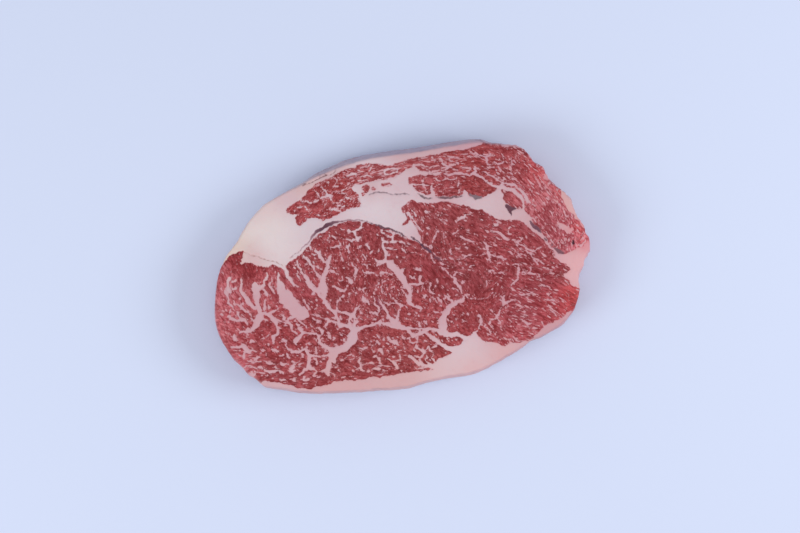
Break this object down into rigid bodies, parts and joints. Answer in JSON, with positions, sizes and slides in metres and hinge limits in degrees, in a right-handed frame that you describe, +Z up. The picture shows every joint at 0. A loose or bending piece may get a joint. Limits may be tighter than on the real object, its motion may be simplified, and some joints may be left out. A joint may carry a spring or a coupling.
{
  "type": "raw beef rib-eye steak",
  "caption": "Thick boneless slice of raw marbled beef with a soft fat rim, lying flat on its lower cut face.",
  "frame": {"origin": "on the table plane under the middle of the steak's outline", "axes": "+X along the steak's length towards the torn end of the cap muscle, +Y across it towards the cap muscle's silverskin edge, +Z up out of the upper cut face"},
  "size_m": [0.1872, 0.1273, 0.026],
  "materials": {
    "beef": "moist raw meat, dark pinkish red with pale pink marbling and cream fat"
  },
  "bodies": {
    "root": {"steak": "beef"}
  },
  "joints": []
}
